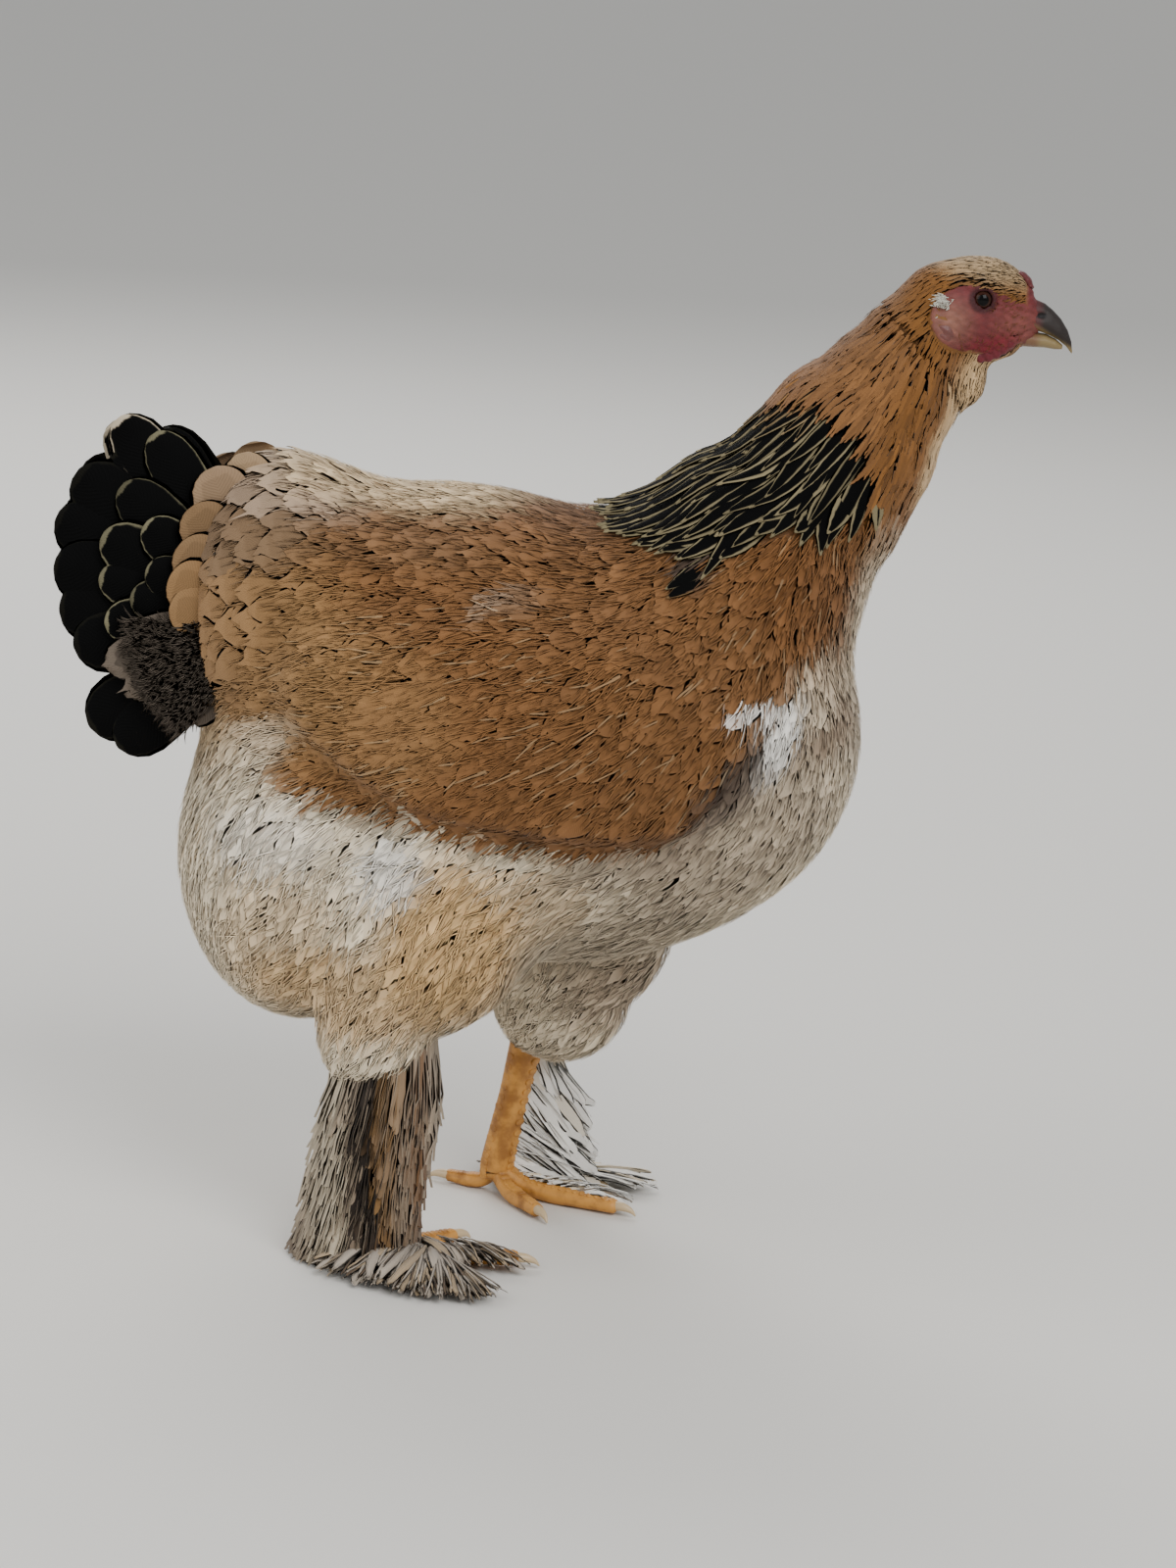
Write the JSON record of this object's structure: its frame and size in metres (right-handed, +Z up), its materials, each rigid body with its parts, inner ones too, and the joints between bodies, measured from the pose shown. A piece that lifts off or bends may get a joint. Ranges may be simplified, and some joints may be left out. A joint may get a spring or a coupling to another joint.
{
  "type": "brahma chicken model",
  "caption": "Life-size standing Brahma hen in mid stride, with a pea comb, laced hackle, fanned tail and feathered legs and feet.",
  "frame": {"origin": "on the floor, under the middle of the bird's outline", "axes": "+X towards the bill, +Y to the bird's left, +Z up"},
  "size_m": [0.4836, 0.2292, 0.5025],
  "materials": {
    "plumage": "soft golden buff feathers",
    "hackle": "black centred neck feathers laced with grey buff",
    "wing": "golden brown feathers",
    "fluff": "pale downy feathers",
    "tail": "black feathers with a slight sheen",
    "leg_feathers": "pale feathers over a yellow scaled shank",
    "toes": "yellow scaled skin with pale feathers at the side",
    "face": "bare red skin, buff feathers over the crown",
    "comb": "beaded red skin",
    "wattle": "soft red skin",
    "earlobe": "soft pinkish skin",
    "horn": "smooth horn, dark along the ridge",
    "claw": "smooth pale horn",
    "eye": "wet and clear"
  },
  "bodies": {
    "root": {"torso": "plumage", "neck": "hackle", "beak_upper": "horn", "beak_lower": "horn", "head": "face", "comb": "comb", "wattle_right": "wattle", "earlobe_right": "earlobe", "eye_right": "eye", "wattle_left": "wattle", "earlobe_left": "earlobe", "eye_left": "eye", "wing_right": "wing", "wing_left": "wing", "tail_right": "tail", "tail_left": "tail", "foot_right": "toes", "shank_right": "leg_feathers", "claw_hind_right": "claw", "claw_inner_right": "claw", "claw_middle_right": "claw", "claw_outer_right": "claw", "foot_left": "toes", "shank_left": "leg_feathers", "claw_hind_left": "claw", "claw_inner_left": "claw", "claw_middle_left": "claw", "claw_outer_left": "claw", "thigh_right": "fluff", "thigh_left": "fluff"}
  },
  "joints": []
}
